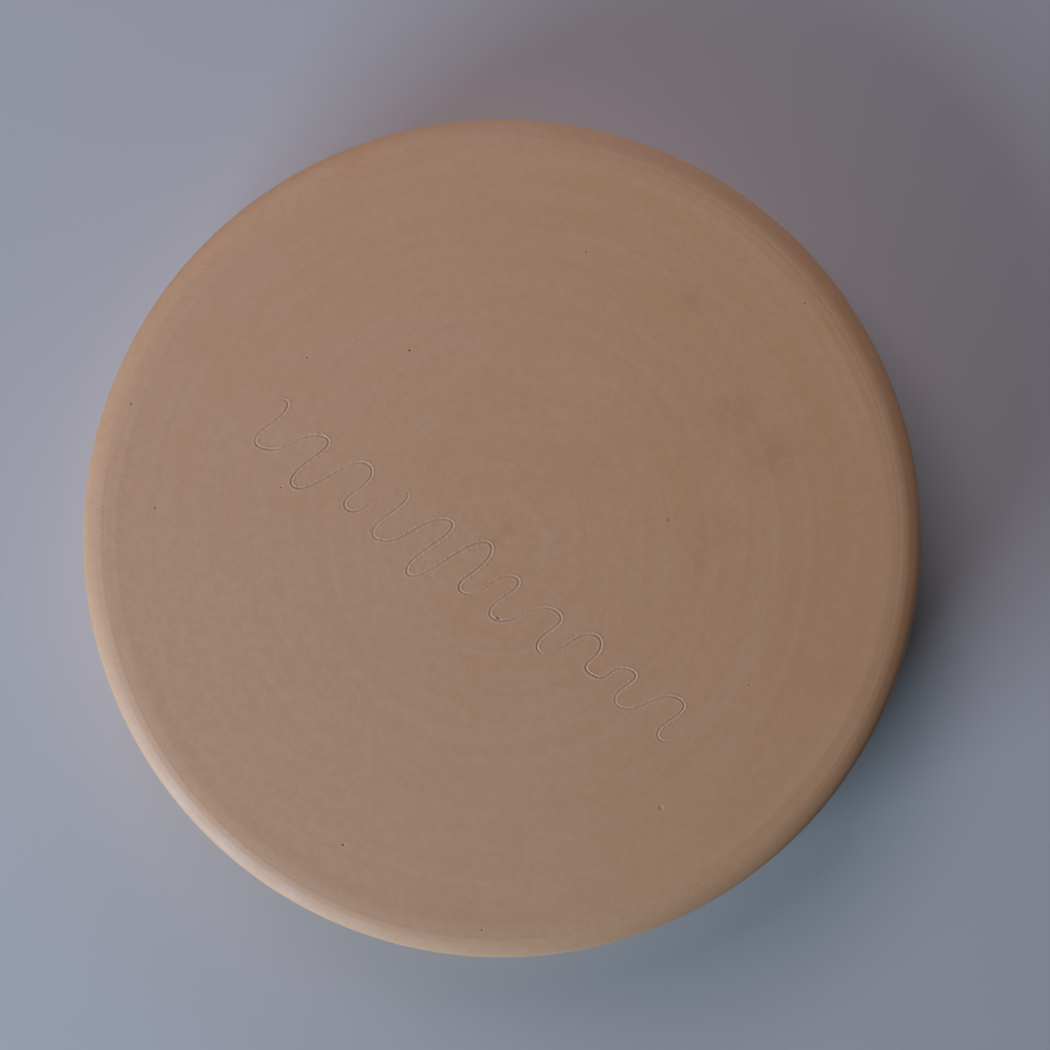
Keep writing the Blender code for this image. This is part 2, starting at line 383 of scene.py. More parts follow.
def joined(*runs):
    """One outline from several runs of points, with straight runs between those that don't meet."""
    outline = [runs[0][0]]
    for run in runs:
        for point in run:
            if math.dist(point, outline[-1]) > SAME_POINT:
                outline.append(point)
    return outline


def fall(drop):
    """From the flat of the back out to the shoulder, ever steeper, down by the drop in all."""
    width = SHOULDER_START_RADIUS - FALL_START_RADIUS
    points = []
    for radius, _ in straight((FALL_START_RADIUS, 0.0), (SHOULDER_START_RADIUS, 0.0), FINE_STEP):
        part = (radius - FALL_START_RADIUS) / width
        points.append((radius, TOP - drop * part * part))
    return points


def fall_and_shoulder():
    """The back's edge: a fall that grows slowly, then a broad curve that tightens at the side."""
    turn_out = math.radians(SHOULDER_START_DEGREES)
    turn_down = math.radians(SHOULDER_BREAK_DEGREES)
    drop = (SHOULDER_START_RADIUS - FALL_START_RADIUS) * math.tan(math.radians(FALL_DEGREES))
    broad = SHOULDER_BROAD_RADIUS
    broad_centre = (
        SHOULDER_START_RADIUS - broad * math.sin(turn_out),
        TOP - drop - broad * math.cos(turn_out),
    )
    broad_start = 90.0 - SHOULDER_START_DEGREES
    broad_end = 90.0 - SHOULDER_BREAK_DEGREES
    points = fall(drop) + arc(broad_centre, broad, broad_start, broad_end, BROAD_DEGREES)[1:]
    break_radius, break_height = points[-1]
    tight = (OUTER_RADIUS - break_radius) / (1 - math.sin(turn_down))
    tight_centre = (OUTER_RADIUS - tight, break_height - tight * math.cos(turn_down))
    return points + arc(tight_centre, tight, broad_end, 0.0, TIGHT_DEGREES)[1:]


def upper_outline():
    """From the centre of the back out and down the side, then in under the land to the boss."""
    edge = fall_and_shoulder()
    land = SEAM + GAP
    seam_centre = (OUTER_RADIUS - SEAM_ROUND, land + SEAM_ROUND)
    seam = arc(seam_centre, SEAM_ROUND, 0.0, -90.0, SMALL_DEGREES)
    press_radius = BED_CURVE_RADIUS - (PRESS_FACE - FLOOR_HEIGHT)
    curve_height = FLOOR_HEIGHT + BED_CURVE_RADIUS
    root = math.degrees(math.asin((land - curve_height) / press_radius))
    curve = arc((FLAT_FLOOR_RADIUS, curve_height), press_radius, root, -90.0, BED_DEGREES)
    return joined(
        straight((0.0, TOP), edge[0], BACK_STEP),
        edge,
        straight(edge[-1], seam[0], WALL_STEP),
        seam,
        straight(seam[-1], curve[0], PLAIN_STEP),
        curve,
        straight(curve[-1], (0.0, PRESS_FACE), PLAIN_STEP),
    )


def foot_ring_outline():
    """The groove that forms the plate's foot, with round corners."""
    inner = FOOT_RING_RADIUS - FOOT_RING_HALF_WIDTH
    outer = FOOT_RING_RADIUS + FOOT_RING_HALF_WIDTH
    points = []
    for radius, _ in straight((inner, 0.0), (outer, 0.0), FOOT_RING_STEP):
        across = (radius - FOOT_RING_RADIUS) / FOOT_RING_HALF_WIDTH
        share = max(0.0, 1 - across**FOOT_RING_POWER) ** FOOT_RING_CORNER_POWER
        points.append((radius, FLOOR_HEIGHT - FOOT_RING_DEPTH * share))
    return points


def lower_outline():
    """From the centre of the bed out over its curve and the gutter, then down to the base."""
    centre = (FLAT_FLOOR_RADIUS, FLOOR_HEIGHT + BED_CURVE_RADIUS)
    mouth = -math.degrees(math.acos((PLATE_RADIUS - FLAT_FLOOR_RADIUS) / BED_CURVE_RADIUS))
    curve = arc(centre, BED_CURVE_RADIUS, -90.0, mouth, BED_DEGREES)
    flash_land = curve[-1][1]
    gutter = arc((GUTTER_RADIUS, flash_land), GUTTER_HALF_WIDTH, 180.0, 360.0, SMALL_DEGREES)
    seam_centre = (OUTER_RADIUS - SEAM_ROUND, SEAM - SEAM_ROUND)
    seam = arc(seam_centre, SEAM_ROUND, 90.0, 0.0, SMALL_DEGREES)
    base_centre = (OUTER_RADIUS - BASE_ROUND, BASE_ROUND)
    base = arc(base_centre, BASE_ROUND, 0.0, -90.0, BASE_DEGREES)
    foot = foot_ring_outline()
    return joined(
        straight((0.0, FLOOR_HEIGHT), foot[0], PLAIN_STEP),
        foot,
        straight(foot[-1], curve[0], PLAIN_STEP),
        curve,
        gutter,
        straight((GUTTER_RADIUS + GUTTER_HALF_WIDTH, SEAM), seam[0], PLAIN_STEP),
        seam,
        straight(seam[-1], base[0], WALL_STEP),
        base,
        straight(base[-1], (0.0, 0.0), BASE_STEP),
    )


def key_groove_outline(start):
    """One grip groove, from the height where it starts."""
    points = []
    for part in range(KEY_GROOVE_PARTS + 1):
        across = part / KEY_GROOVE_PARTS
        depth = KEY_GROOVE_DEPTH * math.sin(math.pi * across) ** KEY_GROOVE_POWER
        points.append((KEY_RADIUS - depth, start + KEY_GROOVE_WIDTH * across))
    return points


def key_stem_outline(direction):
    """The key's side, from its face at height 0 to its far end, up or down, with two grip grooves."""
    outline = arc((KEY_RADIUS - KEY_EDGE, KEY_EDGE), KEY_EDGE, -90.0, 0.0, KEY_EDGE_DEGREES)
    for start in KEY_GROOVE_STARTS:
        outline += key_groove_outline(start)
    far_centre = (KEY_RADIUS - KEY_EDGE, KEY_DEPTH - KEY_EDGE)
    outline += arc(far_centre, KEY_EDGE, 0.0, 90.0, KEY_EDGE_DEGREES)
    return [(radius, direction * height) for radius, height in outline]


def dome_outline(radius, height):
    """From a dome's tip down to its edge at height 0."""
    quarter = arc((0.0, 0.0), 1.0, 90.0, 0.0, DOME_DEGREES)
    return [(radius * x, height * z) for x, z in quarter]


def pin_outline():
    return joined(dome_outline(DOME_RADIUS, DOME_HEIGHT), key_stem_outline(-1), [(0.0, -KEY_DEPTH)])


def socket_outline():
    hollow = dome_outline(DOME_RADIUS + GAP, DOME_HEIGHT + GAP)
    return joined([(0.0, KEY_DEPTH)], key_stem_outline(1)[::-1], hollow[::-1])


# ---------------------------------------------------------------- solids


def link(obj):
    bpy.context.scene.collection.objects.link(obj)
    return obj


def settled(obj):
    """Gives the object the mesh that its modifiers make."""
    graph = bpy.context.evaluated_depsgraph_get()
    mesh = bpy.data.meshes.new_from_object(obj.evaluated_get(graph))
    mesh.name = obj.name
    obj.modifiers.clear()
    obj.data = mesh
    return obj


def turned(name, outline, steps):
    """A body of revolution about Z, from an outline that runs down its outer side."""
    mesh = bpy.data.meshes.new(name)
    points = [(radius, 0.0, height) for radius, height in outline]
    mesh.from_pydata(points, [(index, index + 1) for index in range(len(points) - 1)], [])
    obj = link(bpy.data.objects.new(name, mesh))
    screw = obj.modifiers.new("Turn", "SCREW")
    screw.angle = math.tau
    screw.steps = steps
    screw.render_steps = steps
    screw.use_merge_vertices = True
    screw.merge_threshold = WELD_DISTANCE
    return settled(obj)


def around(radius, angle):
    """The place at a radius and an angle in degrees from +X, at height 0."""
    turn = math.radians(angle)
    return Vector((radius * math.cos(turn), radius * math.sin(turn), 0.0))


def key_centre(kind, number):
    """Where a key's axis meets the base plane."""
    low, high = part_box(f"natch_{kind}_{number}")
    return Vector(((low.x + high.x) / 2, (low.y + high.y) / 2, 0.0))


def add_hole_cutters(cutters, kind, low, high):
    """Round cutters for the holes of the pins or sockets."""
    radius = KEY_RADIUS + GAP
    for number in KEY_NUMBERS:
        centre = key_centre(kind, number) + Vector((0.0, 0.0, (low + high) / 2))
        bmesh.ops.create_cone(
            cutters,
            cap_ends=True,
            segments=KEY_STEPS,
            radius1=radius,
            radius2=radius,
            depth=high - low,
            matrix=Matrix.Translation(centre),
        )


def add_box_cutter(cutters, size, centre, rotation):
    scale = Matrix.Diagonal((*size, 1.0))
    place = Matrix.Translation(centre) @ rotation @ scale
    bmesh.ops.create_cube(cutters, size=1.0, matrix=place)


def add_pry_cutters(cutters):
    """Slots that slope down to the edge, where a tool starts the halves apart."""
    slope = math.atan2(PRY_HEIGHT, PRY_DEPTH)
    size = (2 * PRY_DEPTH / math.cos(slope), PRY_WIDTH, 2 * PRY_HEIGHT)
    for angle in PRY_ANGLES:
        height = SEAM - PRY_HEIGHT + PRY_HEIGHT / math.cos(slope)
        centre = around(OUTER_RADIUS, angle) + Vector((0.0, 0.0, height))
        turn = Matrix.Rotation(math.radians(angle), 4, "Z") @ Matrix.Rotation(slope, 4, "Y")
        add_box_cutter(cutters, size, centre, turn)


def add_mark_cutter(cutters):
    """A slim box on edge, whose corner scores the side across the seam."""
    side = MARK_DEPTH * math.sqrt(2)
    centre = around(OUTER_RADIUS, MARK_ANGLE) + Vector((0.0, 0.0, SEAM))
    turn = Matrix.Rotation(math.radians(MARK_ANGLE + 45.0), 4, "Z")
    add_box_cutter(cutters, (side, side, 2 * MARK_REACH), centre, turn)


def cut(obj, cutters):
    """Cuts every solid in the cutters' mesh from the object."""
    mesh = bpy.data.meshes.new("cutters")
    cutters.to_mesh(mesh)
    cutters.free()
    tool = link(bpy.data.objects.new("cutters", mesh))
    boolean = obj.modifiers.new("Cut", "BOOLEAN")
    boolean.operation = "DIFFERENCE"
    boolean.solver = "EXACT"
    boolean.object = tool
    settled(obj)
    bpy.data.objects.remove(tool)
    return obj


def crease(obj):
    """Smooth shading, but for the sharp edges."""
    obj.data.shade_smooth()
    obj.data.set_sharp_from_angle(angle=math.radians(CREASE_DEGREES))


# ---------------------------------------------------------------- fine marks


def smooth_wobble(seed, rates):
    """A function of an angle or a length that wanders smoothly, mostly between -1 and 1."""
    source = random.Random(seed)
    waves = [(source.uniform(*span), source.uniform(0, math.tau)) for span in rates]
    share = 1 / math.sqrt(len(waves))

    def value(x):
        return share * sum(np.sin(rate * x + phase) for rate, phase in waves)

    return value


def wave_place(part, swing):
    """Where the freehand wave is, at a share of its length."""
    run = WAVE_END - WAVE_START
    along = run.normalized()
    across = Vector((-along.y, along.x))
    height = WAVE_HEIGHT_START + (WAVE_HEIGHT_END - WAVE_HEIGHT_START) * part
    height *= 1 + WAVE_UNEVENNESS * swing(part)
    turn = math.tau * WAVE_CRESTS * (part + WAVE_DRIFT * swing(part + WAVE_DRIFT_SHIFT))
    offset = height * math.sin(turn)
    round_off = run.length / (math.tau * WAVE_CRESTS) * WAVE_ROUNDNESS * math.sin(2 * turn)
    forward = WAVE_LEAN * offset - round_off
    return WAVE_START + run * part + across * offset + along * forward


def wave_press(part, press):
    """How hard the tool pressed, at a share of the wave's length: 0 where it was lifted."""
    lift = min(abs(part - end) for end in (0.0, *WAVE_LIFTS, 1.0))
    fade = min(1.0, max(0.0, lift / WAVE_LIFT_LENGTH - WAVE_LIFT_GAP))
    return fade * (WAVE_MEAN_PRESS + WAVE_PRESS_SWING * press(part))


def scribed_wave():
    """Points along the wave, each with how hard the tool pressed there and how rough its burr is."""
    swing = smooth_wobble(*WAVE_SWING_WOBBLE)
    press = smooth_wobble(*WAVE_PRESS_WOBBLE)
    rough = smooth_wobble(*WAVE_ROUGH_WOBBLE)
    points = []
    for index in range(WAVE_SAMPLES + 1):
        part = index / WAVE_SAMPLES
        roughness = 1 + WAVE_ROUGHNESS * rough(part)
        points.append((wave_place(part, swing), wave_press(part, press), roughness))
    return evenly_spaced(points)


def evenly_spaced(points):
    """Every point that is at least WAVE_SPACING on from the last one kept."""
    kept = [points[0]]
    for point in points[1:]:
        if (point[0] - kept[-1][0]).length >= WAVE_SPACING:
            kept.append(point)
    return kept


class FineMarks:
    """The small marks in one piece's surface, with a tree of their centres to find the nearest by."""

    def __init__(self):
        self.places = []
        self.kinds = []

    def add_line(self, points, height):
        """Adds a line, with the tool's press, the way to its left and its roughness at each point."""
        for index, (place, press, rough) in enumerate(points):
            ahead = points[min(index + 1, len(points) - 1)][0]
            behind = points[max(index - 1, 0)][0]
            along = (ahead - behind).normalized()
            self.places.append((place.x, place.y, height))
            self.kinds.append(("line", press, (-along.y, along.x, rough)))

    def add_pit(self, place, radius, depth):
        """Adds a round hollow, or a crumb if the depth is below 0."""
        self.places.append(tuple(place))
        self.kinds.append(("pit", radius, depth))

    def close(self):
        """Builds the tree, once all the marks are added."""
        self.tree = kdtree.KDTree(len(self.places))
        for index, place in enumerate(self.places):
            self.tree.insert(place, index)
        self.tree.balance()

    def relief(self, place):
        """How far the surface stands out at a place, in metres, because of the nearest mark."""
        centre, index, distance = self.tree.find(place)
        kind, size, shape = self.kinds[index]
        if kind == "pit":
            return -shape * max(0.0, 1 - (distance / size) ** 2) ** 2
        left_x, left_y, rough = shape
        side = (place[0] - centre[0]) * left_x + (place[1] - centre[1]) * left_y
        burr = BURR_HEIGHT * rough * (BURR_LEFT_SHARE if side > 0 else BURR_RIGHT_SHARE)
        away = (distance - BURR_OFFSET) / BURR_HALF_WIDTH
        groove = SCRIBE_DEPTH * math.exp(-((distance / SCRIBE_HALF_WIDTH) ** 2))
        return size * (burr * math.exp(-away * away) - groove)

    def hole(self, place):
        """1 at the middle of a deep pinhole, falling to 0 at its edge: where the material paints shade
        in it.
        """
        _, index, distance = self.tree.find(place)
        kind, size, shape = self.kinds[index]
        if kind != "pit" or shape < DARK_PIT_DEPTH:
            return 0.0
        return max(0.0, 1 - (distance / size) ** 2)


def faces_near(mesh, marks, reach):
    return [face for face in mesh.faces if marks.tree.find(face.calc_center_median())[2] < reach]


def refine_near(obj, marks):
    """Divides the faces near the marks, more the nearer they are.

    Faces with more than four corners are cut into triangles first, as they would stay undivided.
    """
    mesh = bmesh.new()
    mesh.from_mesh(obj.data)
    for reach, longest in REFINE_ROUNDS:
        many_sided = [face for face in faces_near(mesh, marks, reach) if len(face.verts) > 4]
        bmesh.ops.triangulate(mesh, faces=many_sided)
        near = set()
        for face in faces_near(mesh, marks, reach):
            near.update(edge for edge in face.edges if edge.calc_length() > longest)
        bmesh.ops.subdivide_edges(mesh, edges=list(near), cuts=1, use_grid_fill=True)
    mesh.to_mesh(obj.data)
    mesh.free()


def turning_relief(radius, angle):
    """The faint rings that a scraper leaves as the piece turns under it."""
    height = np.zeros_like(radius)
    drift = smooth_wobble(*RING_WOBBLE)(angle)
    for ring, rise, width, strongest in RINGS:
        share = RING_MEAN_SHARE + RING_SHARE_SWING * np.cos(angle - math.radians(strongest))
        away = (radius - ring - RING_DRIFT * drift) / width
        height += rise * np.clip(share, 0.0, 1.0) * np.exp(-away * away)
    for ring, rise, width in RIM_LINES:
        height += rise * np.exp(-(((radius - ring) / width) ** 2))
    for seed, length in enumerate(RIPPLE_LENGTHS, RIPPLE_FIRST_SEED):
        phase = smooth_wobble(seed, RIPPLE_RATES)(angle)
        height += RIPPLE_HEIGHT * np.sin(math.tau * radius / length + RIPPLE_DRIFT * phase)
    dimple = np.clip(1 - (radius / CENTRE_DIMPLE_RADIUS) ** 2, 0.0, 1.0) ** 2
    return height - CENTRE_DIMPLE_DEPTH * dimple


def cast_relief(points):
    """The slight unevenness of a hand-finished side."""
    angle = np.arctan2(points[:, 1], points[:, 0])
    swell = smooth_wobble(*SWELL_WOBBLE)(angle)
    lines = smooth_wobble(*SIDE_LINE_WOBBLE)(points[:, 2] + SIDE_LINE_DRIFT * swell)
    return SWELL_HEIGHT * swell + SIDE_LINE_HEIGHT * lines


def surface_relief(points, normals):
    """How far the turned back and the cast side stand out at each vertex, apart from the fine marks."""
    radius = np.hypot(points[:, 0], points[:, 1])
    angle = np.arctan2(points[:, 1], points[:, 0])
    on_top = (normals[:, 2] > BACK_LEAST_NORMAL) & (points[:, 2] > TOP - BACK_DROP)
    back = on_top & (radius < OUTER_RADIUS - BACK_MARGIN)
    side = (radius > OUTER_RADIUS - SIDE_DEPTH) & (np.abs(normals[:, 2]) < SIDE_MOST_NORMAL)
    relief = np.zeros(len(points))
    relief[back] += turning_relief(radius[back], angle[back])
    relief[side] += cast_relief(points[side])
    return relief


def store(mesh, name, values):
    """Keeps one value per vertex, for the material to read."""
    attribute = mesh.attributes.new(name, "FLOAT", "POINT")
    attribute.data.foreach_set("value", values.astype(np.float32))


def press_marks(obj, marks):
    """Moves the surface in and out, and stores the fine marks' height and their deep pinholes, for the
    painted shade and highlight at the marks.
    """
    mesh = obj.data
    points = np.zeros(len(mesh.vertices) * 3, np.float32)
    mesh.vertices.foreach_get("co", points)
    points = points.reshape(-1, 3).astype(float)
    normals = np.array([vertex.normal for vertex in mesh.vertices])
    fine = np.array([marks.relief(point) for point in points])
    holes = np.array([marks.hole(point) for point in points])
    move = fine + surface_relief(points, normals)
    points += normals * move[:, None]
    mesh.vertices.foreach_set("co", points.astype(np.float32).ravel())
    store(mesh, "relief", fine / SCRIBE_DEPTH)
    store(mesh, "hole", holes)
    mesh.update()


def add_crumbs(marks, wave):
    """Small crumbs that the tool pushed up beside its line, closest together where it lifted."""
    source = random.Random(CRUMB_SEED)
    for place, press, _ in wave:
        chance = CRUMB_CHANCE_AT_LIFT if 0.0 < press < LIGHT_PRESS else CRUMB_CHANCE
        if press > 0.0 and source.random() < chance:
            aside = Vector((source.gauss(0.0, CRUMB_SPREAD), source.gauss(0.0, CRUMB_SPREAD)))
            radius = source.uniform(*CRUMB_RADII)
            spot = place + aside
            marks.add_pit((spot.x, spot.y, TOP), radius, -CRUMB_HEIGHT * radius / CRUMB_RADII[1])


def add_side_pits(marks, seed, low, high):
    """Pinholes left by air bubbles in the cast side, each as deep as its radius."""
    source = random.Random(seed)
    for _ in range(SIDE_PITS_PER_HALF):
        place = around(OUTER_RADIUS, source.uniform(0.0, 360.0))
        place.z = source.uniform(low, high)
        radius = source.uniform(*SIDE_PIT_RADII)
        marks.add_pit(place, radius, radius)


def upper_marks():
    """The scribed wave, its crumbs, and the pinholes and chips of the back and the side."""
    marks = FineMarks()
    wave = scribed_wave()
    marks.add_line(wave, TOP)
    add_crumbs(marks, wave)
    for x, y, radius in BACK_PITS:
        marks.add_pit((x, y, TOP), radius, BACK_PIT_DEPTH)
    for x, y, radius in BACK_CHIPS:
        marks.add_pit((x, y, TOP), radius, radius * CHIP_DEPTH_PER_RADIUS)
    add_side_pits(marks, *UPPER_SIDE_PITS)
    return marks


def lower_marks():
    marks = FineMarks()
    add_side_pits(marks, *LOWER_SIDE_PITS)
    return marks


def marked(obj, marks):
    """The object with the marks pressed into its surface."""
    marks.close()
    refine_near(obj, marks)
    crease(obj)
    press_marks(obj, marks)
    return obj


def make_upper_half():
    obj = turned("upper_half_cast", upper_outline(), TURN_STEPS)
    cutters = bmesh.new()
    land = SEAM + GAP
    add_hole_cutters(cutters, "socket", land - KEY_DEPTH, land + KEY_DEPTH + GAP)
    add_mark_cutter(cutters)
    return marked(cut(obj, cutters), upper_marks())


def make_lower_half():
    obj = turned("lower_half_cast", lower_outline(), TURN_STEPS)
    cutters = bmesh.new()
    add_hole_cutters(cutters, "pin", SEAM - KEY_DEPTH - GAP, SEAM + KEY_DEPTH)
    add_pry_cutters(cutters)
    add_mark_cutter(cutters)
    return marked(cut(obj, cutters), lower_marks())


def make_keys(kind, outline, height, body, material):
    for number in KEY_NUMBERS:
        obj = turned(f"key_{kind}_{number}", outline, KEY_STEPS)
        obj.data.transform(Matrix.Translation(key_centre(kind, number) + Vector((0, 0, height))))
        crease(obj)
        finish_piece(obj, material, body, f"natch_{kind}_{number}")


def finish_piece(obj, material, body, node):
    obj.data.materials.clear()
    obj.data.materials.append(material)
    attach(obj, body)
    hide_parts(node)


# ---------------------------------------------------------------- materials


def add_node(tree, kind, values=(), **settings):
    """A node with its settings, and each input given a plain value or another node's output."""
    node = tree.nodes.new(kind)
    for name, value in settings.items():
        setattr(node, name, value)
    for name, value in dict(values).items():
        socket = node.inputs[name]
        if isinstance(value, bpy.types.NodeSocket):
            tree.links.new(value, socket)
        else:
            socket.default_value = value
    return node


def maths(tree, operation, first, second=0.0, third=0.0):
    values = {0: first, 1: second, 2: third}
    return add_node(tree, "ShaderNodeMath", values, operation=operation).outputs[0]


def mixed(tree, factor, first, second):
    """A colour between two others."""
    values = {0: factor, 6: first, 7: second}
    return add_node(tree, "ShaderNodeMix", values, data_type="RGBA").outputs[2]


def tinted(tree, colour, mask, strength, tint):
    """The colour with some of a tint in it, where the mask says."""
    return mixed(tree, maths(tree, "MULTIPLY", mask, strength), colour, tint)


def ramp(tree, value, low, high, to_low=0.0, to_high=1.0):
    """The value mapped smoothly from one range to another, and held at its ends."""
    values = {"Value": value, "From Min": low, "From Max": high, "To Min": to_low, "To Max": to_high}
    node = add_node(tree, "ShaderNodeMapRange", values, interpolation_type="SMOOTHSTEP")
    return node.outputs["Result"]


def noise_at(tree, coordinates, scale, detail, roughness=0.5):
    values = {"Vector": coordinates, "Scale": scale, "Detail": detail, "Roughness": roughness}
    return add_node(tree, "ShaderNodeTexNoise", values).outputs["Fac"]


def mask_of(tree, name, coordinates, to_low=0.0, to_high=1.0):
    """One of the noise masks, from to_low where it is 0 to to_high where it is 1."""
    scale, detail, roughness, low, high = MASKS[name]
    noise = noise_at(tree, coordinates, scale, detail, roughness)
    return ramp(tree, noise, low, high, to_low, to_high)


def scaled(tree, vector, factors):
    values = {0: vector, 1: factors}
    return add_node(tree, "ShaderNodeVectorMath", values, operation="MULTIPLY").outputs[0]


def new_material(name, roughness, specular):
    material = bpy.data.materials.new(name)
    material.use_nodes = True
    shader = material.node_tree.nodes["Principled BSDF"]
    shader.inputs["Roughness"].default_value = roughness
    shader.inputs["Specular IOR Level"].default_value = specular
    return material, material.node_tree, shader


def turned_coordinates(tree, place):
    """The radius, the direction from the axis, and vectors for broad, fine and hair streaks round it."""
    flat = scaled(tree, place, (1.0, 1.0, 0.0))
    radius = add_node(tree, "ShaderNodeVectorMath", {0: flat}, operation="LENGTH").outputs["Value"]
    unit = add_node(tree, "ShaderNodeVectorMath", {0: flat}, operation="NORMALIZE").outputs[0]
    direction = add_node(tree, "ShaderNodeSeparateXYZ", {0: unit})
    height = add_node(tree, "ShaderNodeSeparateXYZ", {0: place}).outputs["Z"]
    down_the_outline = maths(tree, "SUBTRACT", radius, height)
    vectors = []
    for round_scale, outline_scale in STREAK_SCALES:
        parts = {
            "X": maths(tree, "MULTIPLY", direction.outputs["X"], round_scale),
            "Y": maths(tree, "MULTIPLY", direction.outputs["Y"], round_scale),
            "Z": maths(tree, "MULTIPLY", down_the_outline, outline_scale),
        }
        vectors.append(add_node(tree, "ShaderNodeCombineXYZ", parts).outputs[0])
    return radius, unit, vectors


def smudge_mask(tree, place):
    """1 inside the soft dark smudges on the back, and 0 away from them."""
    mask = 0.0
    for x, y, radius, strength in SMUDGES:
        values = {0: place, 1: (x, y, TOP)}
        node = add_node(tree, "ShaderNodeVectorMath", values, operation="DISTANCE")
        soft = ramp(tree, node.outputs["Value"], 0.0, radius, strength, 0.0)
        mask = maths(tree, "MAXIMUM", mask, soft)
    return maths(tree, "MULTIPLY", mask, mask_of(tree, "smudge", place))


def ring_mask(tree, place, radius, direction):
    """1 on the thin light arcs that turning left on the back, fading out round each of them."""
    warp = noise_at(tree, direction, *RING_WARP_NOISE)
    drift = maths(tree, "MULTIPLY_ADD", warp, RING_WARP, -RING_WARP / 2)
    wandering = maths(tree, "ADD", radius, drift)
    mask = 0.0
    for ring, _, width, strongest in RINGS:
        away = maths(tree, "ABSOLUTE", maths(tree, "SUBTRACT", wandering, ring))
        line = ramp(tree, away, 0.0, width, 1.0, 0.0)
        values = {0: direction, 1: around(1.0, strongest)}
        facing = add_node(tree, "ShaderNodeVectorMath", values, operation="DOT_PRODUCT")
        share = ramp(tree, facing.outputs["Value"], *RING_FACING)
        mask = maths(tree, "MAXIMUM", mask, maths(tree, "MULTIPLY", line, share))
    broken = mask_of(tree, "broken ring", place, BROKEN_RING_LEAST)
    ragged = mask_of(tree, "ragged ring", place, RAGGED_RING_LEAST)
    return maths(tree, "MULTIPLY", mask, maths(tree, "MULTIPLY", broken, ragged))


def nick_mask(tree, place, radius, direction):
    """The small nicks in a line beside the crease, which come and go round it."""
    away = maths(tree, "ABSOLUTE", maths(tree, "SUBTRACT", radius, NICK_RADIUS))
    nicks = mask_of(tree, "nick", place)
    nicks = maths(tree, "MULTIPLY", nicks, mask_of(tree, "nicked side", direction))
    return maths(tree, "MULTIPLY", nicks, ramp(tree, away, *NICK_REACH, NICK_STRENGTH, 0.0))


def plaster_ground(tree, place):
    """The plaster's colour: buff, turning paler and whiter in clouds and towards the lamp-lit side,
    where it is a painted sheen.
    """
    values = {0: place, 1: LIT_SIDE}
    toward = add_node(tree, "ShaderNodeVectorMath", values, operation="DOT_PRODUCT")
    # painted sheen: the colour turns paler and whiter towards the side the key lamp lights
    lit_side_sheen = ramp(tree, toward.outputs["Value"], -OUTER_RADIUS, OUTER_RADIUS)
    clouds = noise_at(tree, place, *CLOUD_NOISE)
    clouds = maths(tree, "MULTIPLY_ADD", clouds, CLOUD_GAIN, CLOUD_OFFSET)
    return mixed(tree, maths(tree, "ADD", lit_side_sheen, clouds), BUFF, PALE_TONE_AND_SHEEN)


def plaster_colour(tree, place, radius, direction, broad, fine):
    """The ground with its painted sheen; the streaks, patches, flecks, rings, specks, nicks and smudges;
    painted shade in the fine marks' hollows and a painted highlight on their burrs and crumbs.
    """
    colour = plaster_ground(tree, place)
    grains = {"light streak": broad, "dark streak": fine, "patch": place, "fleck": place}
    for name, coordinates in grains.items():
        colour = tinted(tree, colour, mask_of(tree, name, coordinates), *TINTS[name])
    colour = tinted(tree, colour, ring_mask(tree, place, radius, direction), *TINTS["ring"])
    colour = tinted(tree, colour, mask_of(tree, "speck", place), *TINTS["speck"])
    colour = mixed(tree, nick_mask(tree, place, radius, direction), colour, NICK_COLOUR)
    colour = tinted(tree, colour, smudge_mask(tree, place), *TINTS["smudge"])
    # painted shade in the sunken marks and deep pinholes, painted highlight on the burrs and crumbs
    for attribute, *limits, tint in MARK_SHADE_AND_HIGHLIGHT:
        value = add_node(tree, "ShaderNodeAttribute", attribute_name=attribute).outputs["Fac"]
        colour = mixed(tree, ramp(tree, value, *limits), colour, tint)
    return colour


def plaster_bump(tree, place, radius, hair):
    """A fine grain, with hair scratches of turning that are stronger at the edge."""
    grain = maths(tree, "MULTIPLY", noise_at(tree, place, *GRAIN_NOISE), GRAIN_SHARE)
    share = ramp(tree, radius, FALL_START_RADIUS, OUTER_RADIUS - BACK_MARGIN, *SCRATCH_SHARES)
    scratch = maths(tree, "MULTIPLY", noise_at(tree, hair, *SCRATCH_NOISE), share)
    values = {"Height": maths(tree, "ADD", grain, scratch), **GRAIN_BUMP}
    return add_node(tree, "ShaderNodeBump", values).outputs["Normal"]


def plaster_material():
    """Buff, fine-grained and matte, with the streaks and scratches of turning."""
    material, tree, shader = new_material(
        "buff_plaster", PLASTER_MEAN_ROUGHNESS, PLASTER_SPECULAR
    )
    shader.inputs["IOR"].default_value = PLASTER_IOR
    place = add_node(tree, "ShaderNodeTexCoord").outputs["Object"]
    radius, direction, (broad, fine, hair) = turned_coordinates(tree, place)
    colour = plaster_colour(tree, place, radius, direction, broad, fine)
    tree.links.new(colour, shader.inputs["Base Color"])
    polish = mask_of(tree, "polish", place, *PLASTER_ROUGHNESS)
    tree.links.new(polish, shader.inputs["Roughness"])
    tree.links.new(plaster_bump(tree, place, radius, hair), shader.inputs["Normal"])
    return material


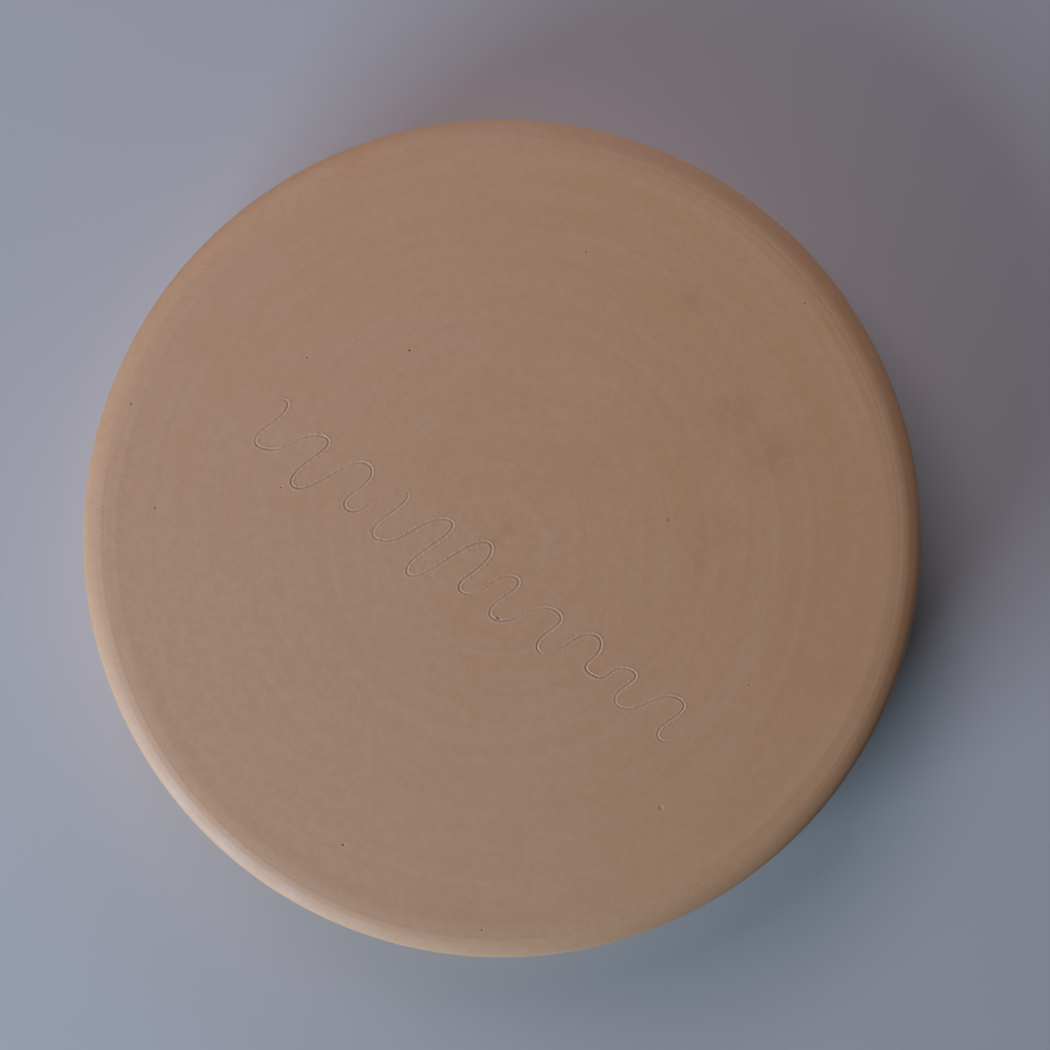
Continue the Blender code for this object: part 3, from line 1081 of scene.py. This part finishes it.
def key_material():
    """Natural moulded plastic, slightly milky, with a faint moulded grain."""
    material, tree, shader = new_material("key_plastic", KEY_MEAN_ROUGHNESS, KEY_SPECULAR)
    place = add_node(tree, "ShaderNodeTexCoord").outputs["Object"]
    colour = mixed(tree, mask_of(tree, "key cloud", place), KEY_MILKY, KEY_PALE)
    dust = mask_of(tree, "key dust", place, 0.0, KEY_DUST_STRENGTH)
    colour = mixed(tree, dust, colour, KEY_DUST)
    tree.links.new(colour, shader.inputs["Base Color"])
    sheen = mask_of(tree, "key sheen", place, *KEY_ROUGHNESS)
    tree.links.new(sheen, shader.inputs["Roughness"])
    values = {"Height": noise_at(tree, place, *KEY_NOISE), **KEY_BUMP}
    bump = add_node(tree, "ShaderNodeBump", values)
    tree.links.new(bump.outputs["Normal"], shader.inputs["Normal"])
    return material


# ---------------------------------------------------------------- stage


def make_floor():
    bpy.ops.mesh.primitive_plane_add(size=FLOOR_SIZE, location=(0.0, 0.0, 0.0))
    floor = bpy.context.object
    floor.name = "floor"
    material, _, shader = new_material("pale_floor", FLOOR_ROUGHNESS, FLOOR_SPECULAR)
    shader.inputs["Base Color"].default_value = FLOOR_GREY
    floor.data.materials.append(material)


def add_lamp(name, azimuth, elevation, power, colour):
    """A square lamp aimed at the part."""
    data = bpy.data.lights.new(name, "AREA")
    data.shape = "SQUARE"
    data.size = LAMP_SIZE
    data.energy = power
    data.color = colour
    lamp = link(bpy.data.objects.new(name, data))
    place = around(LAMP_DISTANCE * math.cos(math.radians(elevation)), azimuth)
    place.z = LAMP_DISTANCE * math.sin(math.radians(elevation))
    lamp.location = place
    lamp.rotation_euler = (-place).to_track_quat("-Z", "Y").to_euler()


def make_lights():
    for lamp in LAMPS:
        add_lamp(*lamp)
    world = bpy.data.worlds.new("studio")
    bpy.context.scene.world = world
    world.use_nodes = True
    background = world.node_tree.nodes["Background"]
    background.inputs["Color"].default_value = WORLD_COLOUR
    background.inputs["Strength"].default_value = WORLD_STRENGTH


def make_camera():
    """Straight down on the back, with the part a little left of and below the middle."""
    data = bpy.data.cameras.new("camera")
    data.sensor_width = SENSOR
    data.lens = LENS
    camera = link(bpy.data.objects.new("camera", data))
    camera.location = (*CAMERA_OFFSET, CAMERA_HEIGHT)
    bpy.context.scene.camera = camera


plaster = plaster_material()
plastic = key_material()
make_camera()
make_lights()
make_floor()
finish_piece(make_upper_half(), plaster, "upper_mold", "upper_half")
finish_piece(make_lower_half(), plaster, "lower_mold", "lower_half")
make_keys("pin", pin_outline(), SEAM, "lower_mold", plastic)
make_keys("socket", socket_outline(), SEAM + GAP, "upper_mold", plastic)
bpy.context.scene.view_settings.view_transform = "Standard"
